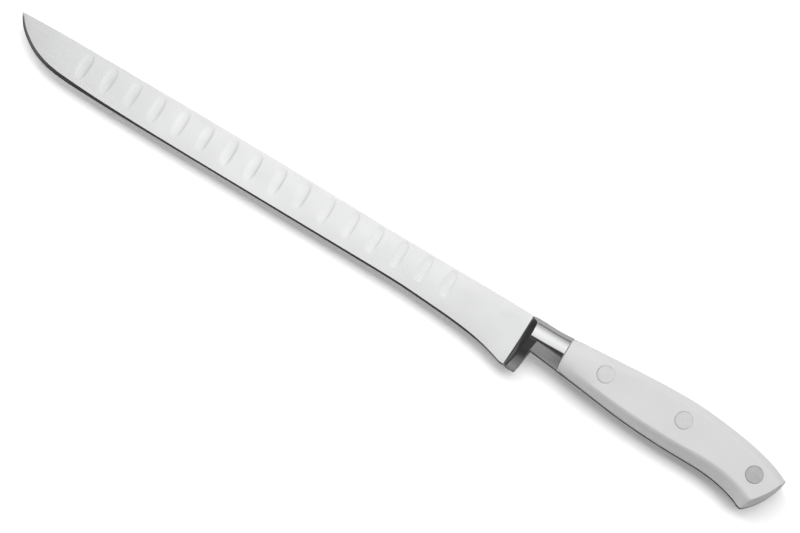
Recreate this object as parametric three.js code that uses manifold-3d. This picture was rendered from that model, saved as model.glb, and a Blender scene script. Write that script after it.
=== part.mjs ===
// Ham slicing knife, lying on its right side, in millimetres.
//
// +X runs along the knife from the blade's point to the butt of the handle,
// +Y from the cutting edge to the spine, +Z up out of the side it shows.
// The origin is the middle of the outer box, on the surface the knife lies on.
//
// Pieces: one steel forging (blade, bolster with finger guard, neck, full tang),
// two plastic scales, and three two-part rivets, each a tubular sleeve and a post.
// All shapes are drawn first in a working frame whose zero is the blade's point in
// the middle plane of the blade, and the whole group is then moved to the origin.

import * as THREE from 'three';
import { mergeVertices } from 'three/addons/utils/BufferGeometryUtils.js';
import Module from 'manifold-3d';

// ---------------------------------------------------------------- dimensions
const BLADE_LENGTH = 250;        // point to the front of the bolster
const OVERALL_LENGTH = 373;      // point to butt
const HALF_THICK = 8.3;          // half the handle's thickness, over the flats
const TANG_HALF = 1.6;           // half the tang's thickness
const NECK_START = 253.4;        // front edge of the neck's rounded crown
const SCALE_FRONT = 269.1;       // joint between the neck and the scales, on the crown
const HEEL_Y = -24.1;            // bottom of the finger guard
const GAP = 0.1;                 // fitting gap between scales and tang
const JOINT_GAP = 0.2;           // fitting gap between scales and neck

const SPINE_HALF_TIP = 0.6;      // half thickness of the spine near the point
const SPINE_HALF_HEEL = 1.3;     // half thickness towards which the spine grows
const SHOULDER_HALF = 0.38;      // half thickness where the edge bevel starts
const EDGE_HALF = 0.04;          // half thickness of the cutting edge itself

const SCALLOPS = 16;             // hollow-ground ovals on each side
const SCALLOP_FIRST = 34.9;      // first one, from the point
const SCALLOP_PITCH = 11.86;
const SCALLOP_Y = -6.6;          // middle of each oval
const SCALLOP_HALF_W = 2.25;     // half width along the blade
const SCALLOP_HALF_L = 6.0;      // half length across the blade
const SCALLOP_DEPTH = 0.06;

const RIVET_X = [287.9, 324.7, 360.4];
const RIVET_Y = [-6.8, -6.6, -10.9];
const RIVET_HEAD_R = 3.7;
const RIVET_HEAD_H = 2.2;
const SLEEVE_R = 2.5;            // outside of the tube
const SLEEVE_BORE = 1.55;
const POST_R = 1.5;
const RIVET_CLEAR = 0.08;        // radial gap around heads and tubes
const FLUSH = 0.03;              // heads sit this far below the scale's flat

// heights above the middle plane at which the long bevels start
const SPINE_FOOT = 4.2;
const BUTT_FOOT = 1.9;
const NECK_FOOT = 1.7;
const NECK_SPINE_FOOT = 3.1;

const CROWN_BELLY_R = 45;        // the neck's rounded top, towards the belly
const CROWN_SPINE_R = 9.5;       // and towards the spine
const CROWN_Y = -6.3;            // line along the highest part of the neck
const CREASE_Y = -9.15;          // line between the neck's crown and its belly facet
const SPINE_CREASE_Y = -2.4;     // line between the crown and the spine facet
const SPINE_SLOPE = 1.93;        // rise of the spine facet

// outlines in plan, as [x, y]
const SPINE = [
  [0, 0], [3, 0.17], [8, 0.32], [20, 0.57], [40, 0.75], [60, 0.83], [85, 0.93], [110, 0.92], [130, 0.82], [150, 0.53],
  [165, 0.34], [180, 0.12], [205, 0.23], [235, 0.2], [250, 0.02], [262, -0.18], [269.1, 0.17], [277, 0.77],
  [285.2, 1.25], [293.4, 1.8], [301.5, 2.39], [309.7, 2.83], [317.9, 3.13], [324, 3.17], [330, 2.93], [338.3, 2.21],
  [346.4, 1.25], [354.5, -0.1], [362.6, -2.01], [367.5, -3.63], [371, -5.24], [372.5, -6.05], [373, -6.4],
];
const EDGE = [
  [0, -0.35], [0.8, -1.7], [2.3, -3.85], [5, -6.75], [9, -9.8], [12.5, -11.9], [16, -13.45],
  [22, -15.15], [28.4, -16.0], [35, -16.35], [52, -16.75], [77, -16.95], [110, -17.05],
  [150, -17.2], [186, -17.35], [195, -17.5], [203, -17.9], [211, -18.38], [219.4, -18.95],
  [227.7, -19.75], [236, -21.0], [244.2, -22.95], [248.4, -24.0], [250.5, -24.1], [256, -24.1],
];
const BEVEL_W = [[0, 1.0], [3, 1.5], [28, 1.55], [45, 1.2], [77, 0.8], [110, 0.7], [200, 0.78], [225, 0.75], [240, 0.62], [250, 0.5]];
const BELLY = [
  [250, -12.9], [255.4, -13.25], [260.6, -13.7], [266.8, -14.4], [269.1, -14.65], [273, -15.07], [281, -16.0],
  [289.4, -17.05], [297.5, -18.05], [305.7, -18.78], [313.9, -19.28], [322, -19.58], [330, -19.63],
  [338.3, -19.64], [342.3, -19.86], [346.4, -20.27], [350.4, -20.92], [354.5, -21.9], [358.5, -23.2],
  [360.6, -24.15], [361.6, -24.55], [362.3, -24.6],
];
const BUTT = [
  [362.3, -24.6], [363.1, -24.2], [364.6, -22.9], [366.7, -20.45], [368.9, -17.2], [370.8, -13.6],
  [372.1, -10.2], [372.75, -8], [373, -6.4],
];
const GUARD_FRONT = [[-24.1, 249.3], [-12, 249.8], [0, 250]];
const GUARD_RIDGE = [
  [-24.1, 250.9], [-22, 251.4], [-17.1, 252.4], [-13.3, 252.8], [-10.5, 253.3], [-8.8, 253.5], [-3, 253.4],
];
const GUARD_BACK = [[-24.1, 254.75], [-19.2, 255.5], [-13.9, 256.05], [-11.5, 256.5], [-9.4, 257], [-6, 257.2]];
const JOINT = [[-14.7, 270.1], [-13.5, 269.6], [-12, 269.25], [-9.15, 269.1], [-2.4, 269.1], [0.2, 269.45]];

// widths of the bevels, and half thicknesses of the finger guard
const BELLY_W = [[269, 2.6], [289.5, 2.6], [298, 2.8], [314, 3.05], [326, 3.2], [338, 3.6], [354, 3.9], [373, 4.2]];
const BELLY_FOOT = [[269, 4.2], [290, 3.8], [310, 2.9], [330, 2.3], [373, 2.2]];
const SPINE_W = 3.2;
const BUTT_W = [[-24.6, 2.0], [-16, 1.3], [-10.5, 0.9], [-6, 0.7]];
const GUARD_HALF = [
  [-24.1, 2.5], [-20, 3.1], [-16, 3.85], [-13.5, 4.75], [-12, 5.8], [-10.5, 6.95], [-9.2, 8], [-8.6, 7.9],
  [-7.2, 7], [-5, 5], [-3, 2],
];

// ------------------------------------------------------------------- helpers
// smooth curve through points, without overshoot between them
function curve(pts) {
  const n = pts.length;
  const h = [], d = [], m = new Array(n).fill(0);
  for (let i = 0; i < n - 1; i++) {
    h.push(pts[i + 1][0] - pts[i][0]);
    d.push((pts[i + 1][1] - pts[i][1]) / h[i]);
  }
  m[0] = d[0];
  m[n - 1] = d[n - 2];
  for (let i = 1; i < n - 1; i++) {
    if (d[i - 1] * d[i] > 0) {
      const a = 2 * h[i] + h[i - 1], b = h[i] + 2 * h[i - 1];
      m[i] = (a + b) / (a / d[i - 1] + b / d[i]);
    }
  }
  return (x) => {
    if (x <= pts[0][0]) return pts[0][1];
    if (x >= pts[n - 1][0]) return pts[n - 1][1];
    let i = 0;
    while (x > pts[i + 1][0]) i++;
    const t = (x - pts[i][0]) / h[i];
    return (2 * t ** 3 - 3 * t * t + 1) * pts[i][1] + (t ** 3 - 2 * t * t + t) * h[i] * m[i]
      + (3 * t * t - 2 * t ** 3) * pts[i + 1][1] + (t ** 3 - t * t) * h[i] * m[i + 1];
  };
}
const clamp01 = (t) => Math.min(1, Math.max(0, t));
const ease = (t) => { t = clamp01(t); return t * t * (3 - 2 * t); };
// the lower of two heights, rounded over k where they meet
function softMin(a, b, k) {
  const t = Math.max(k - Math.abs(a - b), 0) / k;
  return Math.min(a, b) - t * t * k / 4;
}
function distTo(line, x, y) {
  let best = 1e9;
  for (let i = 0; i < line.length - 1; i++) {
    const [ax, ay] = line[i], [bx, by] = line[i + 1];
    const t = clamp01(((x - ax) * (bx - ax) + (y - ay) * (by - ay)) / ((bx - ax) ** 2 + (by - ay) ** 2));
    best = Math.min(best, Math.hypot(x - ax - t * (bx - ax), y - ay - t * (by - ay)));
  }
  return best;
}

const spineY = curve(SPINE), edgeY = curve(EDGE), bevelW = curve(BEVEL_W);
const bellyY = curve(BELLY.concat(BUTT.slice(1))), bellyW = curve(BELLY_W), buttW = curve(BUTT_W);
const bellyFoot = curve(BELLY_FOOT);
const guardHalf = curve(GUARD_HALF), guardFront = curve(GUARD_FRONT), guardRidge = curve(GUARD_RIDGE);
const guardBack = curve(GUARD_BACK), jointX = curve(JOINT);
function sampled(fn, a, b, n) {
  return Array.from({ length: n + 1 }, (_, i) => [a + (b - a) * i / n, fn(a + (b - a) * i / n)]);
}
const SPINE_LINE = sampled(spineY, 262, 373, 60);
const BELLY_LINE = sampled(bellyY, 262, 362.3, 60);
const HUMP_X = 324;              // highest point of the handle's spine

// A block of nx by ny cells bent onto given stations: at(i, j, top) gives the point.
function block(nx, ny, at) {
  const g = new THREE.BoxGeometry(1, 1, 1, nx, ny, 1);
  const p = g.attributes.position;
  for (let k = 0; k < p.count; k++) {
    const i = Math.round((p.getX(k) + 0.5) * nx);
    const j = Math.round((p.getY(k) + 0.5) * ny);
    const [x, y, z] = at(i, j, p.getZ(k) > 0);
    p.setXYZ(k, x, y, z);
  }
  return g;
}

const wasm = await Module();
wasm.setup();
function solid(geometry) {
  const bare = geometry.clone();
  for (const name of Object.keys(bare.attributes)) if (name !== 'position') bare.deleteAttribute(name);
  const g = mergeVertices(bare, 1e-4);
  const index = g.index.array, tris = [];
  for (let k = 0; k < index.length; k += 3) {
    const [a, b, c] = [index[k], index[k + 1], index[k + 2]];
    if (a !== b && b !== c && a !== c) tris.push(a, b, c);
  }
  return new wasm.Manifold(new wasm.Mesh({
    numProp: 3,
    vertProperties: new Float32Array(g.attributes.position.array),
    triVerts: new Uint32Array(tris),
  }));
}
function geometryOf(manifold) {
  const mesh = manifold.getMesh();
  const g = new THREE.BufferGeometry();
  g.setAttribute('position', new THREE.BufferAttribute(new Float32Array(mesh.vertProperties), 3));
  g.setIndex(new THREE.BufferAttribute(new Uint32Array(mesh.triVerts), 1));
  g.computeVertexNormals();
  return g;
}
function turned(profile, segments, x, y) {
  const g = new THREE.LatheGeometry(profile.map(([r, z]) => new THREE.Vector2(r, z)), segments);
  g.rotateX(Math.PI / 2);
  g.translate(x, y, 0);
  return g;
}

// --------------------------------------------------------- surface of the blade
const spineHalf = (x) => SPINE_HALF_TIP + (SPINE_HALF_HEEL - SPINE_HALF_TIP) * ease(x / 330) * 1.15;
function bladeHalf(x, y) {
  const ys = spineY(x), ye = edgeY(x);
  const yb = Math.min(ys - 0.05, ye + bevelW(x));
  const scale = clamp01((ys - ye) / 9);          // the point thins out
  const hs = SHOULDER_HALF + (spineHalf(x) - SHOULDER_HALF) * scale;
  if (y >= yb) return SHOULDER_HALF + (hs - SHOULDER_HALF) * clamp01((y - yb) / (ys - yb));
  return EDGE_HALF + (SHOULDER_HALF - EDGE_HALF) * clamp01((y - ye) / (yb - ye));
}
function bladeSolid() {
  const xs = [0.1, 0.5, 1.2, 2.3, 3.6, 5.2, 7, 9, 11.5, 14, 17, 20.5, 25, 30, 37, 46, 60, 80, 105, 135, 165,
    186, 195, 203, 211, 219, 226, 232, 237, 241, 244.5, 247, 249, 250.6, 252];
  const cols = 4;
  return solid(block(xs.length - 1, cols, (i, j, top) => {
    const x = xs[i], ys = spineY(x), ye = edgeY(x), yb = ye + Math.min(bevelW(x), (ys - ye) * 0.45);
    const y = [ye, yb, yb + (ys - yb) * 0.4, yb + (ys - yb) * 0.75, ys][j];
    const z = j === 0 ? EDGE_HALF : j === 1 ? SHOULDER_HALF : bladeHalf(x, y);
    return [x, y, top ? z : -z];
  }));
}

// -------------------------------------------------------- surface of the handle
const arch = (r, d) => r - Math.sqrt(Math.max(1, r * r - d * d));
function neckHalf(x, y, k) {
  const peak = HALF_THICK - 0.02, yb = bellyY(x);
  const crown = peak - arch(y < CROWN_Y ? CROWN_BELLY_R : CROWN_SPINE_R, y - CROWN_Y);
  const creaseZ = peak - arch(CROWN_BELLY_R, CREASE_Y - CROWN_Y);
  const belly = NECK_FOOT + (y - yb) * (creaseZ - NECK_FOOT) / (CREASE_Y - yb);
  const spine = NECK_SPINE_FOOT + (spineY(x) - y) * SPINE_SLOPE;
  return Math.max(NECK_FOOT, softMin(softMin(crown, belly, k), spine, 0.4));
}
// front end of a scale: the neck's crown, rounded down to the belly
function frontHalf(x, y) {
  const d = Math.max(0, -7.6 - y);
  const crown = HALF_THICK - 0.02 - (y > CROWN_Y ? arch(CROWN_SPINE_R, y - CROWN_Y) : 0);
  const spine = NECK_SPINE_FOOT + (spineY(x) - y) * SPINE_SLOPE;
  return softMin(crown - 0.031 * d ** 2 - 0.0047 * d ** 3, spine, 0.6);
}
function bevel(d, w, foot) {
  // straight slope from the foot, eased into the flat over the last part
  const u = d / w;
  if (u < 0.72) return foot + (HALF_THICK - foot) * u;
  if (u > 1.28) return HALF_THICK;
  const t = (u - 0.72) / 0.56;
  return foot + (HALF_THICK - foot) * (0.72 + 0.56 * (t - t * t / 2));
}
function scaleHalf(x, y) {
  const rear = Math.min(
    bevel(distTo(BELLY_LINE, x, y), bellyW(x), bellyFoot(x)),
    bevel(distTo(SPINE_LINE, x, y), SPINE_W, SPINE_FOOT),
    bevel(distTo(BUTT, x, y), buttW(y), BUTT_FOOT),
  );
  const w = ease((x - SCALE_FRONT) / 22);
  return w >= 1 ? rear : (1 - w) * frontHalf(x, y) + w * rear;
}

function neckSolid() {
  const xs = [249.6, 250.2, 250.9, 251.7, 252.4, NECK_START, 256, 259.5, 263, 266, SCALE_FRONT];
  return solid(block(xs.length - 1, 11, (i, j, top) => {
    const x = xs[i], ys = spineY(x), yb = bellyY(x);
    const y = [yb, yb + (CREASE_Y - yb) * 0.5, CREASE_Y - 0.25, CREASE_Y + 0.35, -7.6, CROWN_Y, -4.9, -3.6,
      SPINE_CREASE_Y - 0.25, SPINE_CREASE_Y + 0.35, (SPINE_CREASE_Y + 0.35 + ys) / 2, ys][j];
    const full = neckHalf(x, y, 0.8);
    const low = Math.min(full, bladeHalf(x, y)) * 0.9;
    const u = clamp01((x - 250) / (NECK_START - 250));
    const rise = 0.55 * u * u + 0.45 * u;
    const z = y > CROWN_Y ? Math.min(full, low + (HALF_THICK + 0.35 - low) * rise) : low + (full - low) * rise;
    const bow = (jointX(y) - SCALE_FRONT) * ease((x - 263) / (SCALE_FRONT - 263));
    return [x + bow, y, top ? z : -z];
  }));
}
function guardSolid() {
  const ys = [HEEL_Y, -22, -19.5, -17, -14.5, -12.6, -11.2, -9.9, -9.2, -8.6, -7.2, -5];
  return solid(block(5, ys.length - 1, (i, j, top) => {
    const y = ys[j], g = guardHalf(y), f = guardFront(y), r = guardRidge(y), b = guardBack(y);
    const x = [f - 0.2, f, f + (r - f) * 0.55, r, (r + b) / 2, b][i];
    const low = bladeHalf(f, Math.max(y, -23.9)) * 0.9;
    const z = i === 0 ? low : i === 1 ? low + 0.05 : i === 2 ? low + (g - low) * 0.45 : g;
    return [x, y, top ? z : -z];
  }));
}
function tangSolid() {
  const shape = new THREE.Shape();
  const x0 = SCALE_FRONT - 3;
  const top = sampled(spineY, x0, HUMP_X, 22).concat(sampled(spineY, HUMP_X, OVERALL_LENGTH, 20).slice(1));
  const low = sampled(bellyY, x0, 362.3, 36).concat(BUTT.slice(1, -1));
  shape.moveTo(low[0][0], low[0][1] + 0.4);
  for (const [x, y] of low.slice(1)) shape.lineTo(x, y);
  for (const [x, y] of top.reverse()) shape.lineTo(x, y - (x < SCALE_FRONT ? 0.4 : 0));
  for (let k = 0; k < 3; k++) {
    const hole = new THREE.Path();
    const r = SLEEVE_R + RIVET_CLEAR;
    for (let s = 0; s < 24; s++) {
      const a = -s * Math.PI / 12;
      const px = RIVET_X[k] + r * Math.sin(a), py = RIVET_Y[k] + r * Math.cos(a);
      if (s === 0) hole.moveTo(px, py); else hole.lineTo(px, py);
    }
    shape.holes.push(hole);
  }
  const g = new THREE.ExtrudeGeometry(shape, { depth: 2 * TANG_HALF, bevelEnabled: false, curveSegments: 1 });
  g.translate(0, 0, -TANG_HALF);
  return solid(g);
}
function scallopSolid(x, side) {
  // a shallow bowl: the tip of an ellipsoid dipping into the blade's side
  const g = new THREE.SphereGeometry(1, 12, 8);
  const k = 0.75;                                  // height of its middle, as a share of its half depth
  const cut = Math.sqrt(1 - k * k);
  const hz = SCALLOP_DEPTH / (1 - k);
  g.rotateX(Math.PI / 2);
  g.scale(SCALLOP_HALF_W / cut, SCALLOP_HALF_L / cut, hz);
  const tilt = Math.atan2(bladeHalf(x, -1) - bladeHalf(x, -12), 11);
  g.rotateX(-tilt);
  g.translate(x, SCALLOP_Y, bladeHalf(x, SCALLOP_Y) + k * hz);
  if (side < 0) g.rotateX(Math.PI).translate(0, 2 * SCALLOP_Y, 0);
  return solid(g);
}

function forging() {
  let body = bladeSolid();
  for (let s = 0; s < SCALLOPS; s++) {
    body = body.subtract(scallopSolid(SCALLOP_FIRST + s * SCALLOP_PITCH, 1));
    if (s < SCALLOPS - 1) body = body.subtract(scallopSolid(SCALLOP_FIRST + (s + 0.5) * SCALLOP_PITCH, -1));
  }
  return body.add(neckSolid()).add(guardSolid()).add(tangSolid());
}

function scaleSolid(side) {
  const xs = [SCALE_FRONT + JOINT_GAP, 271, 273, 275.5, 279, 285, 292, 300, 309, 317, HUMP_X, 331, 339, 346, 352, 357, 360.6,
    362.3, 363.4, 365.5, 367.7, 369.6, 371.2, 372.2, 372.8];
  const sc = solid(block(xs.length - 1, 12, (i, j, top) => {
    const x = xs[i], ys = spineY(x), yb = bellyY(x), d = ys - yb;
    const wb = Math.min(bellyW(x), d * 0.3), ws = Math.min(SPINE_W, d * 0.25);
    const a = yb + 1.28 * wb, b = ys - 1.28 * ws;
    const yy = [yb, yb + 0.36 * wb, yb + 0.72 * wb, yb + wb, a, a + 0.25 * (b - a), a + 0.5 * (b - a),
      a + 0.75 * (b - a), b, ys - ws, ys - 0.72 * ws, ys - 0.36 * ws, ys][j];
    const z = top ? Math.max(TANG_HALF + GAP + 0.3, scaleHalf(x, yy)) : TANG_HALF + GAP;
    const bow = (jointX(yy) - SCALE_FRONT) * (1 - ease((x - SCALE_FRONT - JOINT_GAP) / 7));
    return [x + bow, yy, z];
  }));
  let body = sc;
  for (let k = 0; k < 3; k++) {
    const r = RIVET_HEAD_R + RIVET_CLEAR, s = SLEEVE_R + RIVET_CLEAR;
    const seat = HALF_THICK - FLUSH - RIVET_HEAD_H - RIVET_CLEAR;
    body = body.subtract(solid(turned([[0, 0], [s, 0], [s, seat], [r, seat], [r, 12], [0, 12]], 24, RIVET_X[k], RIVET_Y[k])));
  }
  const g = geometryOf(body);
  if (side < 0) {
    g.scale(1, 1, -1);
    const ix = g.index.array;
    for (let k = 0; k < ix.length; k += 3) [ix[k + 1], ix[k + 2]] = [ix[k + 2], ix[k + 1]];
    g.computeVertexNormals();
  }
  return g;
}

const HEAD_TOP = HALF_THICK - FLUSH;
const HEAD_UNDER = HEAD_TOP - RIVET_HEAD_H;
function sleeveGeometry(k) {
  const end = -HEAD_UNDER + RIVET_CLEAR;
  return turned([[0, 5.4], [SLEEVE_BORE, 5.4], [SLEEVE_BORE, end], [SLEEVE_R, end], [SLEEVE_R, HEAD_UNDER],
    [RIVET_HEAD_R, HEAD_UNDER], [RIVET_HEAD_R, HEAD_TOP - 0.15], [RIVET_HEAD_R - 0.15, HEAD_TOP], [0, HEAD_TOP]],
  24, RIVET_X[k], RIVET_Y[k]);
}
function postGeometry(k) {
  return turned([[0, -HEAD_TOP], [RIVET_HEAD_R - 0.15, -HEAD_TOP], [RIVET_HEAD_R, -HEAD_TOP + 0.15],
    [RIVET_HEAD_R, -HEAD_UNDER], [POST_R, -HEAD_UNDER], [POST_R, 4.6], [POST_R - 0.4, 5.0], [0, 5.0]],
  24, RIVET_X[k], RIVET_Y[k]);
}

// --------------------------------------------------------------------- pieces
const steel = () => new THREE.MeshStandardMaterial({ color: 0xd6d7d8, metalness: 1, roughness: 0.22 });
const rivetSteel = () => new THREE.MeshStandardMaterial({ color: 0xc4c5c6, metalness: 1, roughness: 0.38 });
const plastic = () => new THREE.MeshStandardMaterial({ color: 0xe9e9e7, metalness: 0, roughness: 0.4 });

const knife = new THREE.Group();
function piece(name, geometry, material) {
  const mesh = new THREE.Mesh(geometry, material);
  mesh.name = name;
  knife.add(mesh);
}
piece('forged_blade', geometryOf(forging()), steel());
piece('left_scale', scaleSolid(1), plastic());
piece('right_scale', scaleSolid(-1), plastic());
['front', 'middle', 'rear'].forEach((where, k) => {
  piece(`${where}_rivet_sleeve`, geometryOf(solid(sleeveGeometry(k))), rivetSteel());
  piece(`${where}_rivet_post`, geometryOf(solid(postGeometry(k))), rivetSteel());
});

const X_MIN = 0.1, X_MAX = OVERALL_LENGTH, Y_MIN = -24.6, Y_MAX = spineY(HUMP_X);
knife.position.set(-(X_MIN + X_MAX) / 2, -(Y_MIN + Y_MAX) / 2, HALF_THICK);

export default knife;
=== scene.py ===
import math

import bmesh
import bpy
import numpy as np
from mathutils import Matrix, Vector


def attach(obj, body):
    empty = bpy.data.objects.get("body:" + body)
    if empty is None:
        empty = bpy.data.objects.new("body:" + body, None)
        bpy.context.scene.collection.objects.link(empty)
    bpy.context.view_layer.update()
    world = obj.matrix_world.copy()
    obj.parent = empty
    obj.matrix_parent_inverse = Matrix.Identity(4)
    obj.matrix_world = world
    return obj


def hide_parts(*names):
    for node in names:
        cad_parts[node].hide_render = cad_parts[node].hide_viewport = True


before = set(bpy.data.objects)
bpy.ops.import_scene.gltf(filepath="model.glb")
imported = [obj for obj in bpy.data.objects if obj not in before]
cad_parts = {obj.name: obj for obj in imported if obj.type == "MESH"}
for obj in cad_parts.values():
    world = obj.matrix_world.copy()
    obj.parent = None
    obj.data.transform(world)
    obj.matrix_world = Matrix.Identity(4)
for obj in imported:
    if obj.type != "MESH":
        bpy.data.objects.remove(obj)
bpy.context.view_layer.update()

SHIFT = np.array([-186.55, 10.715, 8.3])
MM = 0.001

# ------------------------------------------------------------------ dimensions
HALF_THICK = 8.3
TANG_HALF = 1.6
GUARD_REAR = 255.4
SCALE_FRONT = 269.1
GAP, JOINT_GAP = 0.1, 0.2
SPINE_HALF_TIP, SPINE_HALF_HEEL = 0.6, 1.3
SHOULDER_HALF, EDGE_HALF = 0.38, 0.04
SCALLOPS, SCALLOP_FIRST, SCALLOP_PITCH = 16, 34.9, 11.86
SCALLOP_Y, SCALLOP_W, SCALLOP_L, SCALLOP_DEPTH, SCALLOP_RIM = -6.6, 2.25, 6.0, 0.023, 0.009
RIVET_X = (287.9, 324.7, 360.4)
RIVET_Y = (-6.8, -6.6, -10.9)
RIVET_R, RIVET_H, SLEEVE_R, SLEEVE_BORE, POST_R = 3.7, 2.2, 2.5, 1.55, 1.5
RIVET_CLEAR, FLUSH = 0.02, 0.03
BUTT_FOOT, NECK_FOOT, NECK_SPINE_FOOT = 1.9, 1.7, 3.1
CROWN_BELLY_R, CROWN_SPINE_R, CROWN_Y = 40.0, 9.5, -6.3
CREASE_Y, SPINE_CREASE_Y, SPINE_SLOPE = -9.15, -2.4, 1.93
SPINE_W = 3.2
NECK_BLEND = 0.9

SPINE = [(0, 0), (3, .2), (8, .4), (20, .68), (40, .86), (60, .93), (85, 1.03), (110, 1.04), (130, .95), (150, .66),
         (165, .48), (180, .24), (205, .31), (235, .29), (250, .1), (262, -.2), (269.1, .17),
         (277, .77), (285.2, 1.25), (293.4, 1.8), (301.5, 2.39), (309.7, 2.83), (317.9, 3.13), (324, 3.17),
         (330, 2.93), (338.3, 2.2), (346.4, 1.2), (354.5, -.2), (362.6, -2.13), (367.5, -3.75), (371, -5.32),
         (372.5, -6.05), (373, -6.4)]
EDGE = [(0, -.35), (.8, -1.7), (2.3, -3.85), (5, -6.75), (9, -9.8), (12.5, -11.9), (16, -13.45), (22, -15.15),
        (28.4, -16), (35, -16.35), (52, -16.75), (77, -16.95), (110, -17.05), (150, -17.2), (186, -17.35),
        (195, -17.5), (203, -17.9), (211, -18.38), (219.4, -18.95), (227.7, -19.75), (236, -21), (244.2, -22.95),
        (248.4, -24), (250.5, -24.1), (256, -24.1)]
BEVEL_W = [(0, 1), (3, 1.5), (28, 1.55), (45, 1.2), (77, .8), (110, .7), (200, .78), (225, .75), (240, .58), (250, .42)]
BELLY = [(250, -12.9), (255.4, -13.25), (260.6, -13.7), (266.8, -14.4), (269.1, -14.65), (273, -15.07), (281, -16),
         (289.4, -17.05), (297.5, -18.05), (305.7, -18.78), (313.9, -19.28), (322, -19.58), (330, -19.63),
         (338.3, -19.64), (342.3, -19.86), (346.4, -20.27), (350.4, -20.92), (354.5, -21.9), (358.5, -23.2),
         (360.6, -24.15), (361.6, -24.55), (362.3, -24.6)]
BUTT = [(362.3, -24.6), (363.1, -24.2), (364.6, -22.9), (366.7, -20.45), (368.9, -17.2), (370.8, -13.6),
        (372.1, -10.2), (372.75, -8), (373, -6.4)]
BELLY_W = [(269, 2.6), (289.5, 2.6), (298, 2.8), (314, 3.05), (326, 3.2), (338, 3.6), (354, 3.9), (373, 4.2)]
BELLY_FOOT = [(269, 4.6), (284, 4.4), (300, 3.5), (315, 2.7), (330, 2.15), (350, 2.0), (373, 2.0)]
SPINE_FOOT = [(262, 4.2), (335, 4.2), (355, 4.7), (373, 4.9)]
BUTT_W = [(-24.6, 2.0), (-16, 1.3), (-10.5, .9), (-6, .7)]
GUARD_HALF = [(-24.1, 2.5), (-20, 3.1), (-16, 3.85), (-13.5, 4.75), (-12, 5.75), (-10.5, 6.8), (-9.2, 7.6), (-8.6, 7.55),
              (-7.2, 7), (-5, 5), (-3, 2)]
GUARD_FRONT = [(-24.1, 249.3), (-12, 249.8), (0, 250)]
GUARD_RIDGE = [(-24.1, 250.9), (-22, 251.4), (-17.1, 252.4), (-13.3, 252.8), (-10.5, 253.3), (-8.8, 253.5), (-3, 253.4)]
GUARD_BACK = [(-24.1, 254.75), (-19.2, 255.5), (-13.9, 256.05), (-11.5, 256.5), (-9.4, 257), (-6, 257.2)]
JOINT = [(-14.7, 270.1), (-13.5, 269.6), (-12, 269.25), (-9.15, 269.1), (-2.4, 269.1), (.2, 269.45)]


# --------------------------------------------------------------------- helpers
def curve(pts):
    """Smooth curve through points, without overshoot between them."""
    p = np.array(pts, float)
    px, py = p[:, 0], p[:, 1]
    h, d = np.diff(px), np.diff(py) / np.diff(px)
    m = np.zeros(len(px))
    m[0], m[-1] = d[0], d[-1]
    for i in range(1, len(px) - 1):
        if d[i - 1] * d[i] > 0:
            a, b = 2 * h[i] + h[i - 1], h[i] + 2 * h[i - 1]
            m[i] = (a + b) / (a / d[i - 1] + b / d[i])

    def f(x):
        x = np.clip(np.asarray(x, float), px[0], px[-1])
        i = np.clip(np.searchsorted(px, x, side="right") - 1, 0, len(px) - 2)
        t = (x - px[i]) / h[i]
        return ((2 * t**3 - 3 * t * t + 1) * py[i] + (t**3 - 2 * t * t + t) * h[i] * m[i]
                + (3 * t * t - 2 * t**3) * py[i + 1] + (t**3 - t * t) * h[i] * m[i + 1])
    return f


def ease(t):
    t = np.clip(t, 0, 1)
    return t * t * (3 - 2 * t)


def soft_min(a, b, k):
    t = np.maximum(k - np.abs(a - b), 0) / k
    return np.minimum(a, b) - t * t * k / 4


def soft_max(a, b, k):
    return -soft_min(-a, -b, k)


def dist_to(line, x, y):
    """Distance of points to a polyline."""
    line = np.array(line, float)
    best = np.full(np.shape(x), 1e9)
    for (ax, ay), (bx, by) in zip(line[:-1], line[1:]):
        t = np.clip(((x - ax) * (bx - ax) + (y - ay) * (by - ay)) / ((bx - ax) ** 2 + (by - ay) ** 2), 0, 1)
        best = np.minimum(best, np.hypot(x - ax - t * (bx - ax), y - ay - t * (by - ay)))
    return best


spine_line, edge_y, bevel_w = curve(SPINE), curve(EDGE), curve(BEVEL_W)
belly_y, belly_w, butt_w = curve(BELLY + BUTT[1:]), curve(BELLY_W), curve(BUTT_W)
belly_foot, spine_foot = curve(BELLY_FOOT), curve(SPINE_FOOT)
guard_half, guard_front, guard_ridge = curve(GUARD_HALF), curve(GUARD_FRONT), curve(GUARD_RIDGE)
guard_back, joint_x = curve(GUARD_BACK), curve(JOINT)


def spine_y(x):
    return np.minimum(spine_line(x), 3.167)


def sampled(f, a, b, n):
    x = np.linspace(a, b, n + 1)
    return np.stack([x, f(x)], 1)


SPINE_LINE = sampled(spine_y, 262, 373, 90)
BELLY_LINE = sampled(belly_y, 262, 362.3, 90)
BUTT_LINE = np.stack([belly_y(np.linspace(362.3, 373, 60)), np.linspace(362.3, 373, 60)], 1)[:, ::-1]


# ------------------------------------------------------------ surface functions
def spine_half(x):
    return SPINE_HALF_TIP + (SPINE_HALF_HEEL - SPINE_HALF_TIP) * ease(x / 330) * 1.15


def blade_half(x, y):
    ys, ye = spine_y(x), edge_y(x)
    yb = np.minimum(ys - 0.05, ye + np.minimum(bevel_w(x), (ys - ye) * 0.45))
    full = SHOULDER_HALF + (spine_half(x) - SHOULDER_HALF) * np.clip((ys - ye) / 15, 0, 1)
    t = np.clip((y - yb) / (ys - yb), 0, 1)
    face = SHOULDER_HALF + (full - SHOULDER_HALF) * (t + 0.18 * t * (1 - t)) + 0.06 * t * (1 - t) * np.clip((ys - ye) / 14, 0, 1)
    bev = EDGE_HALF + (SHOULDER_HALF - EDGE_HALF) * np.clip((y - ye) / (yb - ye), 0, 1)
    return np.where(y >= yb, face, bev)


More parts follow.
